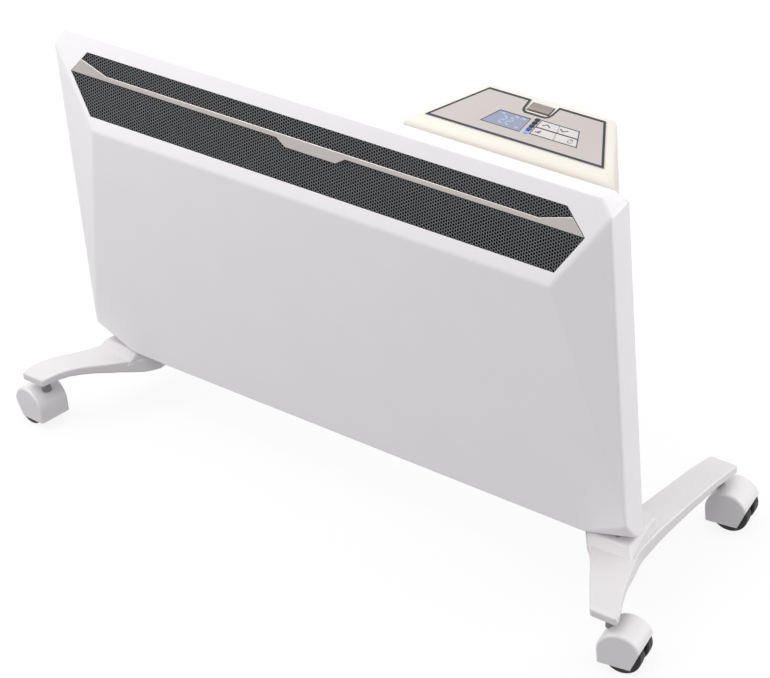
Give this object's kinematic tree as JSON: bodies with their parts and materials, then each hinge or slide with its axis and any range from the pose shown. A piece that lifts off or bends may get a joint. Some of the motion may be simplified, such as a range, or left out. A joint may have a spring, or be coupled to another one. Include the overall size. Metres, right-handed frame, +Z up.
{
  "type": "wall panel convector heater",
  "caption": "Slim white panel convector heater with a charcoal grille band, on castor legs, with a lift-off control unit behind its top edge",
  "frame": {"origin": "on the floor, below the middle of the heater's box", "axes": "+X to the right seen from the front, +Y to the back, +Z up"},
  "size_m": [0.9429, 0.3284, 0.5305],
  "materials": {
    "white_enamel": "smooth white baked enamel on steel sheet",
    "charcoal_grille": "charcoal painted perforated steel",
    "satin_strip": "satin champagne silver",
    "cream_plastic": "fine satin moulded cream plastic",
    "white_plastic": "semi-gloss moulded white plastic",
    "label_film": "silver grey printed film",
    "display_film": "pale blue display window",
    "lamp_plastic": "dark blue light guide",
    "smoke_lens": "smoky translucent rocker",
    "black_plastic": "black moulded plastic",
    "bright_steel": "zinc plated steel",
    "zinc_sheet": "galvanised sheet",
    "element_aluminium": "extruded aluminium, bare",
    "ceramic": "cream steatite ceramic",
    "board_laminate": "green solder resist on laminate",
    "relay_plastic": "blue relay case"
  },
  "bodies": {
    "heater_body": {"grille_mesh": "charcoal_grille", "trim_strip": "satin_strip", "front_panel": "white_enamel", "rear_casing": "white_enamel", "heat_shield": "zinc_sheet", "heating_element": "element_aluminium", "element_bracket_left": "zinc_sheet", "element_bush_left": "ceramic", "element_terminal_left": "bright_steel", "element_bracket_right": "zinc_sheet", "element_bush_right": "ceramic", "element_terminal_right": "bright_steel", "thermal_cutout": "black_plastic", "tilt_switch": "black_plastic", "terminal_block": "ceramic", "cable_gland": "black_plastic", "leg_left": "white_plastic", "leg_screw_left_front": "bright_steel", "leg_screw_left_rear": "bright_steel", "leg_right": "white_plastic", "leg_screw_right_front": "bright_steel", "leg_screw_right_rear": "bright_steel", "dock_socket": "black_plastic"},
    "control_unit": {"unit_cover": "cream_plastic", "unit_base": "cream_plastic", "unit_label": "label_film", "display_window": "display_film", "light_guide": "lamp_plastic", "circuit_board": "board_laminate", "relay": "relay_plastic", "transformer": "black_plastic", "switch_housing": "black_plastic", "dock_plug": "black_plastic"},
    "rocker": {"rocker_switch": "smoke_lens"},
    "key_lower_cap": {"key_lower": "label_film"},
    "key_raise_cap": {"key_raise": "label_film"},
    "key_power_level_cap": {"key_power_level": "label_film"},
    "key_mode_cap": {"key_mode": "label_film"},
    "castor_front_right": {"castor_hood_front_right": "white_plastic", "castor_stem_front_right": "black_plastic", "castor_axle_front_right": "bright_steel"},
    "wheel_front_of_front_right_body": {"wheel_front_of_front_right": "black_plastic"},
    "wheel_back_of_front_right_body": {"wheel_back_of_front_right": "black_plastic"},
    "castor_front_left": {"castor_hood_front_left": "white_plastic", "castor_stem_front_left": "black_plastic", "castor_axle_front_left": "bright_steel"},
    "wheel_front_of_front_left_body": {"wheel_front_of_front_left": "black_plastic"},
    "wheel_back_of_front_left_body": {"wheel_back_of_front_left": "black_plastic"},
    "castor_rear_right": {"castor_hood_rear_right": "white_plastic", "castor_stem_rear_right": "black_plastic", "castor_axle_rear_right": "bright_steel"},
    "wheel_front_of_rear_right_body": {"wheel_front_of_rear_right": "black_plastic"},
    "wheel_back_of_rear_right_body": {"wheel_back_of_rear_right": "black_plastic"},
    "castor_rear_left": {"castor_hood_rear_left": "white_plastic", "castor_stem_rear_left": "black_plastic", "castor_axle_rear_left": "bright_steel"},
    "wheel_front_of_rear_left_body": {"wheel_front_of_rear_left": "black_plastic"},
    "wheel_back_of_rear_left_body": {"wheel_back_of_rear_left": "black_plastic"}
  },
  "joints": [
    {"name": "unit_lift", "type": "slide", "parent": "heater_body", "child": "control_unit", "axis": [0, 0, 1], "range_m": [0, 0.03]},
    {"name": "rocker_tilt", "type": "hinge", "parent": "control_unit", "child": "rocker", "pos_m": [0.234, 0.04012, 0.52264], "axis": [1, 0, 0], "range_deg": [-9, 9]},
    {"name": "key_lower_press", "type": "slide", "parent": "control_unit", "child": "key_lower_cap", "axis": [0, 0.2419, -0.9703], "range_m": [0, 0.0005], "stiffness_N_per_m": 600, "springref_m": -0.0005},
    {"name": "key_raise_press", "type": "slide", "parent": "control_unit", "child": "key_raise_cap", "axis": [0, 0.2419, -0.9703], "range_m": [0, 0.0005], "stiffness_N_per_m": 600, "springref_m": -0.0005},
    {"name": "key_power_level_press", "type": "slide", "parent": "control_unit", "child": "key_power_level_cap", "axis": [0, 0.2419, -0.9703], "range_m": [0, 0.0005], "stiffness_N_per_m": 600, "springref_m": -0.0005},
    {"name": "key_mode_press", "type": "slide", "parent": "control_unit", "child": "key_mode_cap", "axis": [0, 0.2419, -0.9703], "range_m": [0, 0.0005], "stiffness_N_per_m": 600, "springref_m": -0.0005},
    {"name": "swivel_front_right", "type": "hinge", "parent": "heater_body", "child": "castor_front_right", "pos_m": [0.4285, -0.14061, 0.06], "axis": [0, 0, 1], "continuous": true},
    {"name": "spin_front_of_front_right", "type": "hinge", "parent": "castor_front_right", "child": "wheel_front_of_front_right_body", "pos_m": [0.4471, -0.14065, 0.02173], "axis": [-0.2504, 0.9681, 0], "continuous": true},
    {"name": "spin_back_of_front_right", "type": "hinge", "parent": "castor_front_right", "child": "wheel_back_of_front_right_body", "pos_m": [0.44475, -0.13155, 0.02173], "axis": [-0.2504, 0.9681, 0], "continuous": true},
    {"name": "swivel_front_left", "type": "hinge", "parent": "heater_body", "child": "castor_front_left", "pos_m": [-0.4285, -0.14061, 0.06], "axis": [0, 0, 1], "continuous": true},
    {"name": "spin_front_of_front_left", "type": "hinge", "parent": "castor_front_left", "child": "wheel_front_of_front_left_body", "pos_m": [-0.44692, -0.14324, 0.02173], "axis": [0.1132, 0.9936, 0], "continuous": true},
    {"name": "spin_back_of_front_left", "type": "hinge", "parent": "castor_front_left", "child": "wheel_back_of_front_left_body", "pos_m": [-0.44585, -0.1339, 0.02173], "axis": [0.1132, 0.9936, 0], "continuous": true},
    {"name": "swivel_rear_right", "type": "hinge", "parent": "heater_body", "child": "castor_rear_right", "pos_m": [0.3763, 0.13389, 0.06], "axis": [0, 0, 1], "continuous": true},
    {"name": "spin_front_of_rear_right", "type": "hinge", "parent": "castor_rear_right", "child": "wheel_front_of_rear_right_body", "pos_m": [0.3949, 0.13352, 0.02173], "axis": [-0.2334, 0.9724, 0], "continuous": true},
    {"name": "spin_back_of_rear_right", "type": "hinge", "parent": "castor_rear_right", "child": "wheel_back_of_rear_right_body", "pos_m": [0.39271, 0.14266, 0.02173], "axis": [-0.2334, 0.9724, 0], "continuous": true},
    {"name": "swivel_rear_left", "type": "hinge", "parent": "heater_body", "child": "castor_rear_left", "pos_m": [-0.3763, 0.13389, 0.06], "axis": [0, 0, 1], "continuous": true},
    {"name": "spin_front_of_rear_left", "type": "hinge", "parent": "castor_rear_left", "child": "wheel_front_of_rear_left_body", "pos_m": [-0.39481, 0.13206, 0.02173], "axis": [0.1564, 0.9877, 0], "continuous": true},
    {"name": "spin_back_of_rear_left", "type": "hinge", "parent": "castor_rear_left", "child": "wheel_back_of_rear_left_body", "pos_m": [-0.39334, 0.14135, 0.02173], "axis": [0.1564, 0.9877, 0], "continuous": true}
  ]
}
